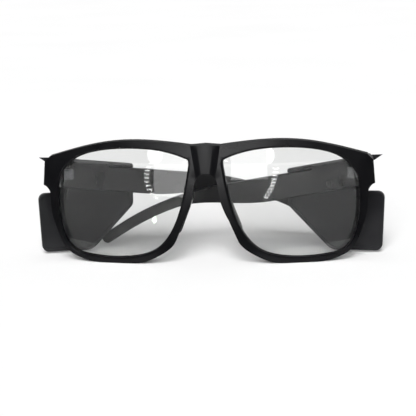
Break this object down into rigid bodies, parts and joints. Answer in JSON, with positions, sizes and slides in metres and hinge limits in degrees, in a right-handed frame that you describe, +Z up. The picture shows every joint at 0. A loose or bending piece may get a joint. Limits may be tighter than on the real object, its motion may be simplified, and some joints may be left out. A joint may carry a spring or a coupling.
{
  "type": "safety glasses",
  "caption": "Black safety glasses with clear lenses, folded temples and clip-on side shields, standing on their rims.",
  "frame": {"origin": "middle of the folded glasses' footprint, on the surface that they stand on", "axes": "+Z up, +X towards the wearer's left, +Y from the lenses to the ears"},
  "size_m": [0.1529, 0.061, 0.0534],
  "materials": {
    "frame_black": "fine matte moulded black nylon",
    "temple_black": "satin moulded black nylon",
    "shield_black": "satin moulded black plastic",
    "soft_black": "smooth black rubber",
    "lens_clear": "clear coated lens",
    "hinge_steel": "blackened stamped and turned steel"
  },
  "bodies": {
    "front": {"front_frame": "frame_black", "lens_right": "lens_clear", "nose_pad_right": "soft_black", "hinge_front_leaf_right": "hinge_steel", "front_leaf_screws_right": "hinge_steel", "hinge_screw_right": "hinge_steel", "lens_left": "lens_clear", "nose_pad_left": "soft_black", "hinge_front_leaf_left": "hinge_steel", "front_leaf_screws_left": "hinge_steel", "hinge_screw_left": "hinge_steel"},
    "temple_right": {"temple_arm_right": "temple_black", "temple_tip_right": "soft_black", "tip_core_wire_right": "hinge_steel", "hinge_temple_leaf_right": "hinge_steel", "temple_leaf_screws_right": "hinge_steel"},
    "shield_right": {"side_shield_right": "shield_black"},
    "temple_left": {"temple_arm_left": "temple_black", "temple_tip_left": "soft_black", "tip_core_wire_left": "hinge_steel", "hinge_temple_leaf_left": "hinge_steel", "temple_leaf_screws_left": "hinge_steel"},
    "shield_left": {"side_shield_left": "shield_black"}
  },
  "joints": [
    {"name": "right_temple_fold", "type": "hinge", "parent": "front", "child": "temple_right", "pos_m": [-0.0656, -0.0075, 0.0367], "axis": [0, 0, 1], "range_deg": [0, 73.5]},
    {"name": "left_temple_fold", "type": "hinge", "parent": "front", "child": "temple_left", "pos_m": [0.0656, -0.0075, 0.0367], "axis": [0, 0, -1], "range_deg": [0, 82.5]},
    {"name": "right_shield_slide", "type": "slide", "parent": "temple_right", "child": "shield_right", "axis": [0.9515, 0.2818, -0.1236], "range_m": [0, 0.003]},
    {"name": "left_shield_slide", "type": "slide", "parent": "temple_left", "child": "shield_left", "axis": [-0.9745, 0.1283, -0.184], "range_m": [0, 0.003]}
  ],
  "couplings": [
    {"joint": "left_temple_fold", "follows": "right_temple_fold", "ratio": 1.1224}
  ]
}
